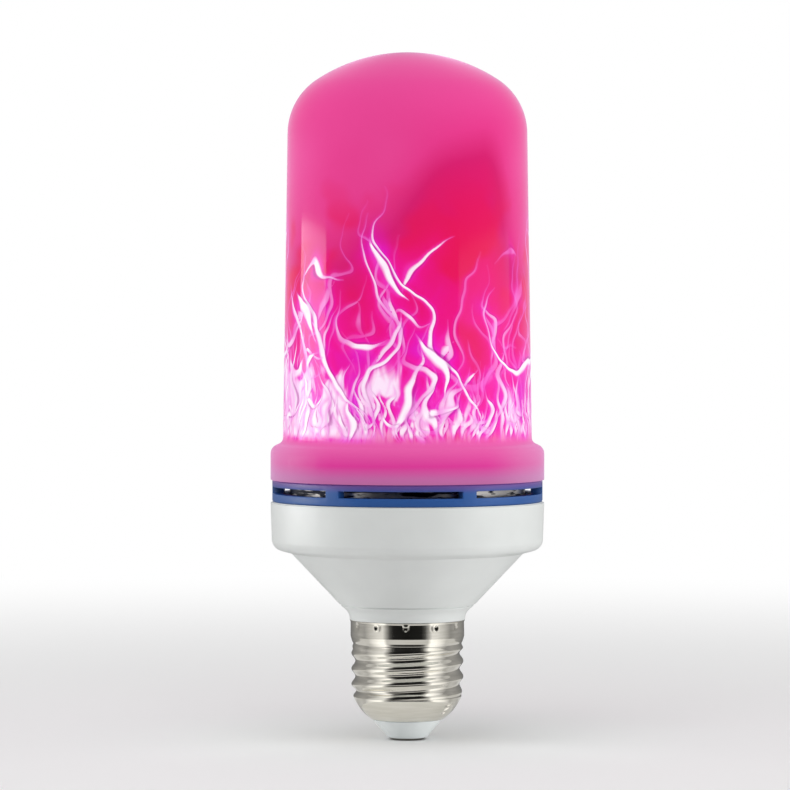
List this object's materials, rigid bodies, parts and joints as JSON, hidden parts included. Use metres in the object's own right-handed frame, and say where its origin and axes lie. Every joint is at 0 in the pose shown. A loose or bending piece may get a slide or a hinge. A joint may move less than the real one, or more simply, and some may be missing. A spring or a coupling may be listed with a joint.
{
  "type": "flame effect led bulb",
  "caption": "Flame effect LED bulb: milky domed cover with a stepped collar, a vented ring, a conical white housing and an E27 screw cap.",
  "frame": {"origin": "middle of the centre contact's flat end, at the bottom of the screw cap", "axes": "+Z runs along the bulb's axis from the cap to the dome; -Y is the side that the picture shows"},
  "size_m": [0.064, 0.064, 0.1606],
  "materials": {
    "milky_cover": "milky polycarbonate, satin inside and out, lit from within by the lamp core",
    "blue_ring": "moulded ABS, satin",
    "white_housing": "moulded flame retardant plastic, fine satin",
    "nickelled_shell": "drawn and rolled sheet, bright nickel plated",
    "grey_insulator": "moulded, smooth",
    "contact_metal": "tinned, dull",
    "cup_aluminium": "pressed sheet",
    "white_former": "moulded",
    "white_board": "white solder mask",
    "led_body": "phosphor and white frame",
    "screw_steel": "zinc plated",
    "green_board": "green solder mask",
    "capacitor_sleeve": "shrunk film sleeve",
    "choke_winding": "varnished wire on a drum",
    "chip_black": "moulded epoxy",
    "resistor_body": "lacquered",
    "lead_red": "insulated wire",
    "lead_black": "insulated wire",
    "lead_yellow": "insulated wire"
  },
  "bodies": {
    "root": {"diffuser_cover": "milky_cover", "vent_ring": "blue_ring", "base_housing": "white_housing", "screw_shell": "nickelled_shell", "cap_insulator": "grey_insulator", "centre_contact": "contact_metal", "heat_sink_cup": "cup_aluminium", "core_tube": "white_former", "strip_board": "white_board", "side_leds": "led_body", "top_board": "white_board", "top_leds": "led_body", "core_screws": "screw_steel", "driver_board": "green_board", "board_screws": "screw_steel", "filter_capacitor": "capacitor_sleeve", "choke": "choke_winding", "bridge_rectifier": "chip_black", "driver_chip": "chip_black", "controller_chip": "chip_black", "fusible_resistor": "resistor_body", "live_lead": "lead_red", "neutral_lead": "lead_black", "led_leads": "lead_yellow"}
  },
  "joints": []
}
